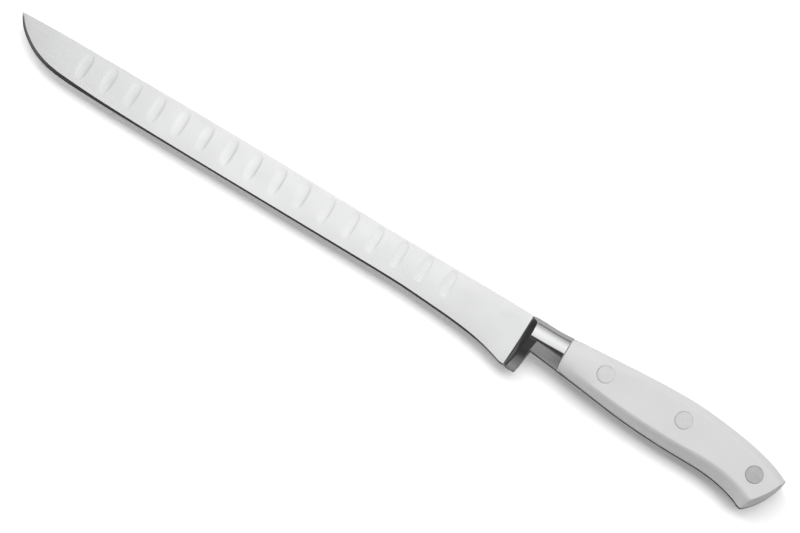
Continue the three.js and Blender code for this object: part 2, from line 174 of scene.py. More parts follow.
def scallop_q(x, y, phase):
    """0 at the middle of the nearest scallop, 1 on its rim and outside it; and how far it lies to the butt and spine."""
    n = np.clip(np.round((x - SCALLOP_FIRST) / SCALLOP_PITCH - phase), 0, SCALLOPS - 1 - (phase > 0))
    xc = SCALLOP_FIRST + (n + phase) * SCALLOP_PITCH
    u, v = (x - xc) / SCALLOP_W, (y - SCALLOP_Y) / SCALLOP_L
    q = (np.abs(u) ** 3 + np.abs(v) ** 3) ** (1 / 3)
    return np.minimum(q, 1), u + 0.4 * v


def scallops(x, y, phase):
    q, w = scallop_q(x, y, phase)
    bowl = SCALLOP_DEPTH * (1 - q * q) + SCALLOP_RIM * (1 - q**16) * (0.2 + 0.8 * ease((w + 1) / 2))
    return bowl * (1 + 0.8 * ease((x - 55) / 85))


def neck_half(x, y, k):
    top = HALF_THICK - 0.02
    d = y - CROWN_Y
    r = np.where(d < 0, CROWN_BELLY_R, CROWN_SPINE_R)
    crown = top - (r - np.sqrt(np.maximum(1, r * r - d * d)))
    crease = top - (CROWN_BELLY_R - math.sqrt(CROWN_BELLY_R**2 - (CREASE_Y - CROWN_Y) ** 2))
    yb = belly_y(x)
    belly = NECK_FOOT + (y - yb) * (crease - NECK_FOOT) / (CREASE_Y - yb)
    spine = NECK_SPINE_FOOT + (spine_y(x) - y) * SPINE_SLOPE
    return np.maximum(NECK_FOOT, soft_min(soft_min(crown, belly, k), spine, 0.4))


def front_half(x, y):
    """Section of a scale's front end: the neck's crown, rounded down to the belly."""
    top = HALF_THICK - 0.02
    d = np.maximum(0, -7.6 - y)
    r = CROWN_SPINE_R
    crown = top - np.where(y > CROWN_Y, r - np.sqrt(np.maximum(1, r * r - (y - CROWN_Y) ** 2)), 0)
    spine = NECK_SPINE_FOOT + (spine_y(x) - y) * SPINE_SLOPE
    return soft_min(crown - 0.031 * d**2 - 0.0047 * d**3, spine, 0.6)


def guard_full(x, y):
    return soft_max(neck_half(x, y, NECK_BLEND), guard_half(y), 0.2)


def bevel(d, w, foot):
    u = d / w
    t = np.clip((u - 0.72) / 0.56, 0, 1)
    h = np.where(u < 0.72, u, 0.72 + 0.56 * (t - t * t / 2))
    return foot + (HALF_THICK - foot) * h


def scale_half(x, y):
    rear = np.minimum(np.minimum(bevel(dist_to(BELLY_LINE, x, y), belly_w(x), belly_foot(x)),
                                 bevel(dist_to(SPINE_LINE, x, y), SPINE_W, spine_foot(x))),
                      bevel(dist_to(BUTT_LINE, x, y), butt_w(y), BUTT_FOOT))
    w = ease((x - SCALE_FRONT) / 22)
    return (1 - w) * front_half(x, y) + w * rear


# ------------------------------------------------------------------ mesh makers
def mesh_object(name, verts, faces):
    me = bpy.data.meshes.new(name)
    me.from_pydata(((np.asarray(verts) + SHIFT) * MM).tolist(), [], faces)
    ob = bpy.data.objects.new(name, me)
    bpy.context.scene.collection.objects.link(ob)
    return ob


def tidy(ob, angle):
    """Merges doubled points, drops faces with no area, points faces outwards, smooth with sharp edges by angle."""
    me = ob.data
    bm = bmesh.new()
    bm.from_mesh(me)
    bmesh.ops.remove_doubles(bm, verts=bm.verts, dist=2e-6)
    bmesh.ops.dissolve_degenerate(bm, dist=1e-6, edges=bm.edges)
    loose = [v for v in bm.verts if not v.link_faces]
    bmesh.ops.delete(bm, geom=loose, context="VERTS")
    bmesh.ops.recalc_face_normals(bm, faces=bm.faces)
    bm.to_mesh(me)
    bm.free()
    me.polygons.foreach_set("use_smooth", [True] * len(me.polygons))
    me.set_sharp_from_angle(angle=math.radians(angle))
    me.update()


def tube(rows, cap_start=True, cap_end=True):
    """Faces of a skin through closed loops of equal length."""
    n, m, _ = rows.shape
    i, j = np.arange(n - 1)[:, None], np.arange(m)[None, :]
    k = (j + 1) % m
    faces = np.stack([i * m + j, i * m + k, (i + 1) * m + k, (i + 1) * m + j], -1).reshape(-1, 4).tolist()
    if cap_start:
        faces.append(list(range(m))[::-1])
    if cap_end:
        faces.append([(n - 1) * m + q for q in range(m)])
    return rows.reshape(-1, 3), faces


def lathe(name, profile, segments, x, y, turn=0.0):
    """A turned piece about a vertical axis: profile is (radius, height), from axis to axis."""
    p = np.array(profile, float)
    a = np.linspace(0, 2 * math.pi, segments, endpoint=False) + turn
    verts = np.stack([x + p[:, 0:1] * np.cos(a), y + p[:, 0:1] * np.sin(a), np.repeat(p[:, 1:2], segments, 1)], -1)
    v, f = tube(verts, False, False)
    return mesh_object(name, v, f)


def cut(ob, tool):
    """Takes tool's volume out of ob."""
    mod = ob.modifiers.new("cut", "BOOLEAN")
    mod.operation, mod.solver, mod.object = "DIFFERENCE", "EXACT", tool
    bpy.context.view_layer.update()
    dg = bpy.context.evaluated_depsgraph_get()
    new = bpy.data.meshes.new_from_object(ob.evaluated_get(dg))
    old = ob.data
    ob.modifiers.clear()
    ob.data = new
    bpy.data.meshes.remove(old)
    bpy.data.objects.remove(tool)


def joined(name, a, b):
    """One mesh from two objects, whose shared border is merged later."""
    bm = bmesh.new()
    bm.from_mesh(a.data)
    bm.from_mesh(b.data)
    me = bpy.data.meshes.new(name)
    bm.to_mesh(me)
    bm.free()
    for o in (a, b):
        bpy.data.objects.remove(o)
    ob = bpy.data.objects.new(name, me)
    bpy.context.scene.collection.objects.link(ob)
    return ob


# ----------------------------------------------------------------- steel forging
BEV = np.array([0, 0.4, 0.8, 0.96, 1.0])
NB = len(BEV) - 1


def packed(n, near=0.0, far=0.0):
    """Fractions 0..1 in n steps, closer together at the ends asked for."""
    t = np.linspace(0, 1, n + 1)
    if near:
        t = (1 - near) * t + near * t * t
    if far:
        t = (1 - far) * t + far * (1 - (1 - t) ** 2)
    return t


KNOTS = [(13, 0.92, 0.5), (13, 0.0, 0.8), (22, 0.75, 0.7), (9, 0.6, 0.7)]
N_MAIN = sum(k[0] for k in KNOTS)
N = NB + N_MAIN + 3
J_BELLY = NB + KNOTS[0][0]
FACE_F = np.concatenate([[0, 0.005], np.linspace(0.022, 0.985, N_MAIN - 3), [0.994, 1.0]])


def knot_columns(marks):
    """Column heights through marks: shoulder, belly, crease, spine crease, spine."""
    out = [np.array([marks[0]])]
    for (n, near, far), a, b in zip(KNOTS, marks[:-1], marks[1:]):
        out.append(a + (b - a) * packed(n, near, far)[1:])
    return np.concatenate(out)


def round_over(y, z, ys, r, z_top):
    """The three columns that turn from a side into the spine's wall."""
    t = np.array([1 / 3, 2 / 3, 1.0])
    p0, p1, p2 = (y, z), (ys, z_top), (ys, z_top - r)
    yy = (1 - t) ** 2 * p0[0] + 2 * t * (1 - t) * p1[0] + t * t * p2[0]
    zz = (1 - t) ** 2 * p0[1] + 2 * t * (1 - t) * p1[1] + t * t * p2[1]
    return yy, zz


def ring(x, y, z_up, z_low):
    """One closed loop: up the upper side from edge to spine, back down the lower side."""
    x = np.broadcast_to(x, y.shape)
    up = np.stack([x, y, z_up], 1)
    low = np.stack([x, y, -z_low], 1)[::-1]
    return np.concatenate([up, low])


def blade_rows():
    step = np.concatenate([np.linspace(-2.25, 2.25, 16), [2.75]])
    xs = [0.1, 0.22, 0.4, 0.62, 0.88, 1.2, 1.55, 1.95, 2.4, 2.9]
    while xs[-1] < SCALLOP_FIRST - 3.2:
        xs.append(xs[-1] + min(0.75, 0.3 + 0.05 * xs[-1]))
    xs = xs[:-1]
    for s in range(2 * SCALLOPS - 1):
        xs += list(SCALLOP_FIRST + s * SCALLOP_PITCH / 2 + step)
    x = xs[-1]
    while x < 243:
        x += min(1.2, 0.5 + 0.04 * (x - xs[-1]))
        xs.append(x)
    xs += [244.2, 245.2, 246.1, 246.9, 247.6, 248.2, 248.7, 249.1, 249.4, 249.65, 249.85]
    rows = []
    for x in xs:
        ye, ys = float(edge_y(x)), float(spine_y(x))
        yb = ye + min(float(bevel_w(x)), (ys - ye) * 0.45)
        full = float(blade_half(x, ys))
        r = min(0.16, 0.4 * full, 0.2 * (ys - yb))
        face = yb + FACE_F * (ys - r - yb)
        w = float(ease((x - 222) / 27))
        if w > 0:
            face = (1 - w) * face + w * knot_columns([yb, -13.25, CREASE_Y, SPINE_CREASE_Y, ys - r])
        y = np.concatenate([ye + BEV[:-1] * (yb - ye), face])
        h = blade_half(np.full(y.shape, x), y)
        up = h - scallops(x, y, 0.0)
        low = h - scallops(x, y, 0.5)
        ya, za = round_over(y[-1], up[-1], ys, r, full)
        y, up, low = np.concatenate([y, ya]), np.concatenate([up, za]), np.concatenate([low, za])
        shift = float(ease((x - 238) / 12)) * (guard_front(y) - 250)
        rows.append(ring(x + shift, y, up, low))
    return rows


def bolster_rows():
    ye, ys, r = -24.1, float(spine_y(250)), 0.16
    yb = ye + 0.42
    face = knot_columns([yb, -13.25, CREASE_Y, SPINE_CREASE_Y, ys - r])
    y = np.concatenate([ye + BEV[:-1] * (yb - ye), face])
    start = blade_half(np.full(y.shape, 250.0), y)
    full0 = float(blade_half(250.0, ys))
    xf, xr = guard_front(y), guard_ridge(y)
    top = guard_full(xr, y)
    ysp = float(spine_y(253))
    rows = []

    def row(x, z, z_spine, rr):
        ya, za = round_over(y[-1], z[-1], ysp, rr, z_spine)
        yy = np.concatenate([y, ya])
        xx = np.concatenate([x, np.repeat(x[-1], 3)])
        zz = np.concatenate([z, za])
        rows.append(ring(xx, yy, zz, zz))

    # front ramp: a small fillet out of the blade's flat, then a steep face up to the ridge
    for u in (0, 0.03, 0.07, 0.12, 0.18, 0.25, 0.33, 0.42, 0.52, 0.62, 0.72, 0.81, 0.89, 0.95, 0.985, 1.0):
        rise = 0.5 * u * u + 0.5 * (u - 0.06 * (1 - math.exp(-u / 0.06)))
        rise = rise / (0.5 + 0.5 * (1 - 0.06))
        z = start + (top - start) * rise
        steep = soft_min(start + (HALF_THICK + 0.35 - start) * rise, top, 0.15)
        z = np.where(y > CROWN_Y, steep + (z - steep) * 0.5 * ease((y + 4.5) / 4.5), z)
        row(xf + u * (xr - xf), z, float(z[-1]) + (full0 - float(start[-1])) * (1 - u) + 0.1 * u, 0.12 + 0.14 * u**4)
    # sides of guard and neck behind the ridge
    xb = guard_back(y)
    for v in (0.02, 0.06, 0.14, 0.26, 0.4, 0.54, 0.68, 0.8, 0.89, 0.95, 0.98):
        x = xr + v * (xb - xr)
        z = guard_full(np.full(y.shape, GUARD_REAR), y)
        row(x, z, float(z[-1]) + 0.1, 0.26)
    # rear edge of the guard, slightly broken
    z_neck = neck_half(np.full(y.shape, GUARD_REAR), y, NECK_BLEND)
    proud = z - np.minimum(z, z_neck)
    z_full = z
    z = z_full - np.minimum(proud, 0.06)
    row(xr + 0.995 * (xb - xr), z, float(z[-1]) + 0.1, 0.26)
    z = z_full - np.minimum(proud, 0.2)
    row(xb, z, float(z[-1]) + 0.1, 0.26)
    return rows


def neck_rows():
    rows = []
    xs = np.concatenate([[GUARD_REAR], GUARD_REAR + np.array([0.12, 0.35, 0.7]), np.linspace(256.7, 268.4, 21),
                         [268.75, 268.95, 269.05, SCALE_FRONT]])
    for n, x in enumerate(xs):
        yb, ys, r = float(belly_y(x)), float(spine_y(x)), 0.16
        face = knot_columns([yb - 1, yb, CREASE_Y, SPINE_CREASE_Y, ys - r])
        face[: KNOTS[0][0]] = yb
        y = np.concatenate([np.full(NB, yb), face])
        z = neck_half(np.full(y.shape, x), y, NECK_BLEND + 0.2 * ease((x - 258) / 11))
        drop = 0.1 if n == len(xs) - 1 else 0.03 if n == len(xs) - 2 else 0.0
        z = z - drop
        ya, za = round_over(y[-1], z[-1], ys, 0.26, float(z[-1]) + 0.1)
        y, z = np.concatenate([y, ya]), np.concatenate([z, za])
        bow = (guard_back(y) - GUARD_REAR) * (1 - ease((x - GUARD_REAR) / 8))
        bow = bow + (joint_x(y) - SCALE_FRONT) * ease((x - 263) / (SCALE_FRONT - 263))
        rows.append(ring(x + bow, y, z, z))
    return rows


def tang_rows():
    rows = []
    xs = np.concatenate([[SCALE_FRONT], np.linspace(271, 359, 45), np.linspace(360, 362.3, 5),
                         np.linspace(362.8, 371.5, 18), [372.0, 372.4, 372.7, 372.9, 372.97]])
    for x in xs:
        yb, ys = float(belly_y(x)), float(spine_y(x))
        r = min(0.1, 0.2 * (ys - yb))
        face = knot_columns([yb - 1, yb, yb + (ys - yb) * 0.37, yb + (ys - yb) * 0.88, ys - r])
        face[: KNOTS[0][0]] = yb
        y = np.concatenate([np.full(NB, yb), face])
        z = np.full(y.shape, TANG_HALF)
        ya, za = round_over(y[-1], TANG_HALF, ys, r, TANG_HALF)
        rows.append(ring(x, np.concatenate([y, ya]), np.concatenate([z, za]), np.concatenate([z, za])))
    return rows


def forging():
    tang = np.array(tang_rows())
    front = np.array(blade_rows() + bolster_rows() + neck_rows() + [tang[0]])
    a = mesh_object("forging_front", *tube(front, True, False))
    b = mesh_object("forging_tang", *tube(tang, True, True))
    tidy(b, 30)
    for x, y in zip(RIVET_X, RIVET_Y):
        r = SLEEVE_R + RIVET_CLEAR
        tool = lathe("hole", [(0, -4), (r, -4), (r, 4), (0, 4)], 48, x, y, 0.021)
        tidy(tool, 30)
        cut(b, tool)
        tidy(b, 30)
    if len(b.data.polygons) < 1000:
        raise RuntimeError("the tang was lost in cutting its rivet holes")
    # the tang's front end is open where the neck goes on
    bm = bmesh.new()
    bm.from_mesh(b.data)
    x0 = (SCALE_FRONT + SHIFT[0]) * MM
    bmesh.ops.delete(bm, geom=[f for f in bm.faces if all(abs(v.co.x - x0) < 1e-6 for v in f.verts)], context="FACES")
    bm.to_mesh(b.data)
    bm.free()
    ob = joined("blade_forging", a, b)
    tidy(ob, 40)
    return ob


# ------------------------------------------------------------------ handle scales
def scale_piece(name, side):
    xs = np.concatenate([SCALE_FRONT + JOINT_GAP + np.array([0, 0.03, 0.08, 0.16, 0.35, 0.7]), np.linspace(270.3, 361.8, 190),
                         np.linspace(362.3, 371.8, 50), [372.0, 372.2, 372.4, 372.55, 372.7, 372.8, 372.88, 372.95]])
    drop = np.zeros(len(xs))
    drop[:4] = [0.2, 0.1, 0.04, 0.01]
    rows = []
    for x, dz in zip(xs, drop):
        yb, ys = float(belly_y(x)), float(spine_y(x))
        d = ys - yb
        wb, ws = min(1.35 * float(belly_w(x)), d * 0.36), min(1.35 * SPINE_W, d * 0.3)
        y = np.concatenate([yb + wb * np.linspace(0, 1, 30), np.linspace(yb + wb, ys - ws, 26)[1:],
                            ys - ws + ws * np.linspace(0, 1, 24)[1:]])
        z = np.maximum(TANG_HALF + GAP + 0.3, scale_half(np.full(y.shape, x), y)) - dz
        low = TANG_HALF + GAP
        xx = x + (joint_x(y) - SCALE_FRONT) * (1 - ease((x - SCALE_FRONT - JOINT_GAP) / 7))
        rows.append(np.concatenate([[[xx[0], yb, low]], np.stack([xx, y, z], 1), [[xx[-1], ys, low]]]))
    ob = mesh_object(name, *tube(np.array(rows)))
    tidy(ob, 30)
    for x, y in zip(RIVET_X, RIVET_Y):
        r, s = RIVET_R + RIVET_CLEAR, SLEEVE_R + RIVET_CLEAR
        seat = HALF_THICK - FLUSH - RIVET_H - RIVET_CLEAR
        tool = lathe("bore", [(0, 0), (s, 0), (s, seat), (r, seat), (r, HALF_THICK - 0.05), (r + 0.02, HALF_THICK + 0.01),
                              (r + 0.02, 12), (0, 12)], 96, x, y)
        tidy(tool, 30)
        cut(ob, tool)
    if side < 0:
        bm = bmesh.new()
        bm.from_mesh(ob.data)
        mid = SHIFT[2] * MM
        for v in bm.verts:
            v.co.z = 2 * mid - v.co.z
        bmesh.ops.reverse_faces(bm, faces=bm.faces)
        bm.to_mesh(ob.data)
        bm.free()
    tidy(ob, 30)
    return ob


# ----------------------------------------------------------------------- rivets
HEAD_TOP = HALF_THICK - FLUSH
HEAD_UNDER = HEAD_TOP - RIVET_H


def head_profile(sign):
    """Flush head: a faintly domed face with a small broken edge."""
    r = RIVET_R
    pts = [(0, HEAD_TOP), (1.2, HEAD_TOP - 0.001), (2.4, HEAD_TOP - 0.004), (3.2, HEAD_TOP - 0.008), (3.58, HEAD_TOP - 0.014),
           (3.65, HEAD_TOP - 0.03), (r - 0.01, HEAD_TOP - 0.06), (r, HEAD_TOP - 0.1), (r, HEAD_UNDER + 0.05),
           (r - 0.05, HEAD_UNDER)]
    return [(a, sign * b) for a, b in pts]


def rivet(k, where):
    x, y = RIVET_X[k], RIVET_Y[k]
    end = -HEAD_UNDER + RIVET_CLEAR
    sleeve = head_profile(1) + [(SLEEVE_R, HEAD_UNDER), (SLEEVE_R, end + 0.1),
                                (SLEEVE_R - 0.1, end), (SLEEVE_BORE + 0.1, end), (SLEEVE_BORE, end + 0.1),
                                (SLEEVE_BORE, 5.3), (SLEEVE_BORE - 0.1, 5.4), (0, 5.4)]
    post = head_profile(-1) + [(POST_R + 0.1, -HEAD_UNDER), (POST_R, -HEAD_UNDER + 0.1), (POST_R, 4.6), (POST_R - 0.4, 5.0),
                               (0, 5.0)]
    a = lathe("rivet_%s_sleeve" % where, sleeve, 96, x, y)
    b = lathe("rivet_%s_post" % where, post, 96, x, y)
    tidy(a, 30)
    tidy(b, 30)
    return a, b


# -------------------------------------------------------------------- materials
def material(name):
    m = bpy.data.materials.new(name)
    m.use_nodes = True
    nt = m.node_tree
    nt.nodes.clear()
    out = nt.nodes.new("ShaderNodeOutputMaterial")
    bsdf = nt.nodes.new("ShaderNodeBsdfPrincipled")
    nt.links.new(bsdf.outputs[0], out.inputs[0])
    return m, nt, bsdf


class Net:
    """Short names for making nodes in one tree."""

    def __init__(self, nt):
        self.nt = nt

    def node(self, kind, **props):
        n = self.nt.nodes.new(kind)
        for k, v in props.items():
            setattr(n, k, v)
        return n

    def put(self, socket, value):
        if hasattr(value, "is_output"):
            self.nt.links.new(value, socket)
        else:
            socket.default_value = value

    def coords(self, scale):
        c = self.node("ShaderNodeTexCoord")
        m = self.node("ShaderNodeMapping")
        self.nt.links.new(c.outputs["Object"], m.inputs["Vector"])
        m.inputs["Scale"].default_value = scale
        return m.outputs[0]

    def noise(self, vector, scale, detail=3.0, rough=0.55):
        n = self.node("ShaderNodeTexNoise")
        self.put(n.inputs["Vector"], vector)
        n.inputs["Scale"].default_value = scale
        n.inputs["Detail"].default_value = detail
        n.inputs["Roughness"].default_value = rough
        return n.outputs["Fac"]

    def span(self, value, a, b, c, d):
        n = self.node("ShaderNodeMapRange", interpolation_type="LINEAR")
        self.put(n.inputs["Value"], value)
        for k, v in zip(("From Min", "From Max", "To Min", "To Max"), (a, b, c, d)):
            n.inputs[k].default_value = v
        return n.outputs[0]

    def smooth(self, value, a, b, c=0.0, d=1.0):
        n = self.node("ShaderNodeMapRange", interpolation_type="SMOOTHSTEP")
        self.put(n.inputs["Value"], value)
        for k, v in zip(("From Min", "From Max", "To Min", "To Max"), (a, b, c, d)):
            n.inputs[k].default_value = v
        return n.outputs[0]

    def math(self, op, a, b=0.0):
        n = self.node("ShaderNodeMath", operation=op)
        self.put(n.inputs[0], a)
        self.put(n.inputs[1], b)
        return n.outputs[0]

    def mix(self, fac, a, b):
        n = self.node("ShaderNodeMix", data_type="RGBA")
        self.put(n.inputs["Factor"], fac)
        self.put(n.inputs[6], a)
        self.put(n.inputs[7], b)
        return n.outputs[2]

    def attr(self, name):
        return self.node("ShaderNodeAttribute", attribute_name=name).outputs["Fac"]

    def bump(self, height, strength, distance):
        n = self.node("ShaderNodeBump")
        self.put(n.inputs["Height"], height)
        n.inputs["Strength"].default_value = strength
        n.inputs["Distance"].default_value = distance
        return n.outputs[0]


def blade_material():
    m, nt, b = material("polished_steel")
    k = Net(nt)
    fine = k.noise(k.coords((90, 7000, 7000)), 1.0, 2.0)
    lines = k.noise(k.coords((28, 1500, 1500)), 1.0, 3.0)
    cloud = k.noise(k.coords((60, 110, 110)), 1.0, 3.0)
    grain = k.math("ADD", k.math("MULTIPLY", fine, 0.5), k.math("MULTIPLY", lines, 0.5))
    edge_wear_and_shade = k.attr("edge_wear_and_shade")
    base = k.mix(k.span(grain, 0.35, 0.65, 0.0, 1.0), (0.735, 0.738, 0.742, 1), (0.785, 0.787, 0.79, 1))
    streak = k.noise(k.coords((30, 1100, 1100)), 1.0, 3.0)
    dark = k.math("MULTIPLY", k.span(streak, 0.4, 0.66, 0.0, 0.5), k.attr("streaked"))
    base = k.mix(dark, base, (0.58, 0.58, 0.58, 1))
    base = k.mix(k.math("MULTIPLY", edge_wear_and_shade, 0.6), base, (0.83, 0.83, 0.83, 1))
    base = k.mix(k.math("MULTIPLY", k.attr("dimple"), 0.12), base, (0.85, 0.85, 0.85, 1))
    k.put(b.inputs["Base Color"], base)
    k.put(b.inputs["Metallic"], k.span(k.attr("satin"), 0.0, 1.9, 1.0, 0.62))
    rough = k.math("ADD", k.span(grain, 0.3, 0.7, 0.15, 0.22), k.span(cloud, 0.3, 0.7, -0.015, 0.03))
    k.put(b.inputs["Roughness"], rough)
    k.put(b.inputs["Normal"], k.bump(grain, 0.05, 0.00002))
    return m


def tang_material():
    m, nt, b = material("ground_steel_painted_shade")
    k = Net(nt)
    lay = k.noise(k.coords((120, 2500, 2500)), 1.0, 3.0)
    cloud = k.noise(k.coords((160, 160, 160)), 1.0, 3.0)
    # dark base colour and weak reflection at grazing angles: painted shade along the tang line and the neck's underside
    k.put(b.inputs["Base Color"], k.mix(k.span(lay, 0.3, 0.7, 0.0, 1.0), (0.22, 0.22, 0.22, 1), (0.28, 0.28, 0.28, 1)))
    b.inputs["Metallic"].default_value = 1.0
    b.inputs["Specular Tint"].default_value = (0.45, 0.45, 0.45, 1)
    k.put(b.inputs["Roughness"], k.span(cloud, 0.3, 0.7, 0.4, 0.5))
    k.put(b.inputs["Normal"], k.bump(lay, 0.1, 0.00002))
    return m


def plastic_material():
    m, nt, b = material("white_satin_plastic")
    k = Net(nt)
    cloud = k.noise(k.coords((55, 70, 70)), 1.0, 4.0)
    pores = k.noise(k.coords((2600, 2600, 2600)), 1.0, 2.0)
    lay = k.noise(k.coords((300, 900, 900)), 1.0, 3.0)
    edge_wear_and_shade = k.attr("edge_wear_and_shade")
    base = k.mix(k.span(cloud, 0.3, 0.7, 0.0, 1.0), (0.685, 0.685, 0.682, 1), (0.712, 0.712, 0.71, 1))
    # darker along sharp edges: partly grime, partly painted shade in the gaps at the rivets and the neck joint; the
    # lower roughness below is handling wear
    base = k.mix(k.math("MULTIPLY", edge_wear_and_shade, 0.35), base, (0.64, 0.64, 0.632, 1))
    k.put(b.inputs["Base Color"], base)
    rough = k.math("ADD", k.span(lay, 0.3, 0.7, 0.42, 0.52), k.math("MULTIPLY", edge_wear_and_shade, -0.06))
    k.put(b.inputs["Roughness"], rough)
    b.inputs["Specular IOR Level"].default_value = 0.4
    height = k.math("ADD", k.math("MULTIPLY", pores, 0.5), k.math("MULTIPLY", lay, 0.5))
    k.put(b.inputs["Normal"], k.bump(height, 0.12, 0.00003))
    return m


def rivet_material(name, dark, light, r0, r1, rim=0.45, rim_share=0.3):
    m, nt, b = material(name)
    k = Net(nt)
    lay = k.noise(k.coords((5200, 420, 420)), 1.0, 3.0)
    spots = k.noise(k.coords((1500, 1500, 1500)), 1.0, 2.0)
    edge_wear_and_shade = k.attr("edge_wear_and_shade")
    cloud = k.noise(k.coords((300, 300, 300)), 1.0, 2.0)
    blend = k.math("ADD", k.math("MULTIPLY", lay, 0.5), k.math("MULTIPLY", cloud, 0.5))
    base = k.mix(k.span(blend, 0.38, 0.62, 0.0, 1.0), dark, light)
    base = k.mix(k.smooth(spots, 0.62, 0.8, 0.0, 0.4), base, (0.5, 0.5, 0.5, 1))
    # the rim colour darkens the head's edge: painted shade of the gap around the rivet
    base = k.mix(k.math("MULTIPLY", edge_wear_and_shade, rim_share), base, (rim, rim, rim, 1))
    k.put(b.inputs["Base Color"], base)
    b.inputs["Metallic"].default_value = 0.8
    k.put(b.inputs["Roughness"], k.span(lay, 0.3, 0.7, r0, r1))
    k.put(b.inputs["Normal"], k.bump(lay, 0.1, 0.00003))
    return m


def add_edge_mask(ob, width_mm):
    """A 0..1 attribute that is strongest along the object's sharp edges."""
    me = ob.data
    n = len(me.vertices)
    co = np.zeros(n * 3)
    me.vertices.foreach_get("co", co)
    co = co.reshape(-1, 3)
    sharp = np.zeros(len(me.edges), bool)
    layer = me.attributes.get("sharp_edge")
    if layer:
        layer.data.foreach_get("value", sharp)
    ev = np.zeros(len(me.edges) * 2, np.int64)
    me.edges.foreach_get("vertices", ev)
    ev = ev.reshape(-1, 2)
    dist = np.full(n, 1e9)
    dist[ev[sharp].ravel()] = 0
    length = np.linalg.norm(co[ev[:, 0]] - co[ev[:, 1]], axis=1) / MM
    for _ in range(8):
        np.minimum.at(dist, ev[:, 0], dist[ev[:, 1]] + length)
        np.minimum.at(dist, ev[:, 1], dist[ev[:, 0]] + length)
    value = np.clip(1 - dist / width_mm, 0, 1) ** 2
    a = me.attributes.new("edge_wear_and_shade", "FLOAT", "POINT")
    a.data.foreach_set("value", value.astype(np.float32))


def mark_dimples(ob):
    """A 0..1 attribute for the finer polish inside the scallops."""
    me = ob.data
    co = np.zeros(len(me.vertices) * 3)
    me.vertices.foreach_get("co", co)
    x, y, z = (co.reshape(-1, 3) / MM - SHIFT).T
    q = np.where(z > 0, scallop_q(x, y, 0.0)[0], scallop_q(x, y, 0.5)[0])
    a = me.attributes.new("dimple", "FLOAT", "POINT")
    a.data.foreach_set("value", np.clip((1 - q) / 0.12, 0, 1).astype(np.float32))


def mark_satin(ob):
    """Attributes for the blade's satin flats, most at the point, and for the streaks of the grinding on the neck's belly."""
    me = ob.data
    co = np.zeros(len(me.vertices) * 3)
    me.vertices.foreach_get("co", co)
    x, y, z = (co.reshape(-1, 3) / MM - SHIFT).T
    shoulder = edge_y(x) + np.minimum(bevel_w(x), (spine_y(x) - edge_y(x)) * 0.45)
    value = ((x < guard_front(y) + 0.02) & (y > shoulder - 0.02)) * (1 - ease((x - 206) / 26)) * (1.9 - 0.9 * ease(x / 24))
    a = me.attributes.new("satin", "FLOAT", "POINT")
    a.data.foreach_set("value", value.astype(np.float32))
    value = ease((CREASE_Y - 0.4 - y) / 0.8) * ease((x - guard_back(y) + 0.2) / 0.4)
    a = me.attributes.new("streaked", "FLOAT", "POINT")
    a.data.foreach_set("value", value.astype(np.float32))


def mark_tang(ob):
    """Second material, on the ground, unpolished tang between the scales and on the neck's underside; its dark colour
    there is painted shade.
    """
    me = ob.data
    co = np.zeros(len(me.vertices) * 3)
    me.vertices.foreach_get("co", co)
    co = co.reshape(-1, 3) / MM - SHIFT
    flat = np.abs(co[:, 2]) < TANG_HALF + 0.02
    under = (np.abs(co[:, 2]) < NECK_FOOT + 0.02) & (np.abs(co[:, 1] - belly_y(co[:, 0])) < 0.12) & (co[:, 0] > GUARD_REAR + 1.8)
    part = ((co[:, 0] > SCALE_FRONT + 0.05) & flat) | under
    for f in me.polygons:
        f.material_index = int(all(part[v] for v in f.vertices))


# ------------------------------------------------------------------------ camera
ELEVATION, AZIMUTH, DISTANCE = math.radians(79.0), math.radians(31.319), 1.3
TARGET = Vector((5.434e-3, -0.008e-3, 8.3e-3))
FOCAL_PX, IMAGE_W = 3142.86, 800
back = Vector((math.sin(AZIMUTH) * math.cos(ELEVATION), -math.cos(AZIMUTH) * math.cos(ELEVATION), math.sin(ELEVATION)))
cam_data = bpy.data.cameras.new("camera")
cam_data.sensor_fit, cam_data.sensor_width = "HORIZONTAL", 36.0
cam_data.lens = FOCAL_PX * 36.0 / IMAGE_W
cam_data.clip_start, cam_data.clip_end = 0.05, 60.0
cam = bpy.data.objects.new("camera", cam_data)
cam.location = TARGET + back * DISTANCE
cam.rotation_mode = "QUATERNION"
cam.rotation_quaternion = (-back).to_track_quat("-Z", "Y")
bpy.context.scene.collection.objects.link(cam)
bpy.context.scene.camera = cam

# ------------------------------------------------------------------------ pieces
# dull is the ground tang steel; its dark colour is painted shade along the tang line
steel, dull, plastic = blade_material(), tang_material(), plastic_material()
# three copies of one rivet finish, each set darker to match its rivet's tone; the rear one also has a strongly darkened
# rim of painted shade
rivet_a = rivet_material("ground_rivet", (0.635, 0.635, 0.635, 1), (0.69, 0.69, 0.69, 1), 0.26, 0.34)
rivet_c = rivet_material("ground_rivet_worn", (0.605, 0.605, 0.605, 1), (0.67, 0.67, 0.67, 1), 0.26, 0.34)
rivet_b = rivet_material("ground_rivet_dull", (0.42, 0.42, 0.42, 1), (0.51, 0.51, 0.51, 1), 0.28, 0.36, 0.12, 0.8)

blade = forging()
blade.data.materials.append(steel)
blade.data.materials.append(dull)
add_edge_mask(blade, 0.35)
mark_tang(blade)
mark_satin(blade)
mark_dimples(blade)
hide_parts("forged_blade")
pieces = [blade]
for name, node, side in (("scale_left", "left_scale", 1), ("scale_right", "right_scale", -1)):
    ob = scale_piece(name, side)
    ob.data.materials.append(plastic)
    add_edge_mask(ob, 0.6)
    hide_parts(node)
    pieces.append(ob)
for k, where in enumerate(("front", "middle", "rear")):
    for ob, half in zip(rivet(k, where), ("sleeve", "post")):
        ob.data.materials.append((rivet_a, rivet_c, rivet_b)[k])
        add_edge_mask(ob, 0.25)
        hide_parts("%s_rivet_%s" % (where, half))
        pieces.append(ob)
for ob in pieces:
    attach(ob, "root")
for ob in pieces[1:3]:
    ob.visible_diffuse = False

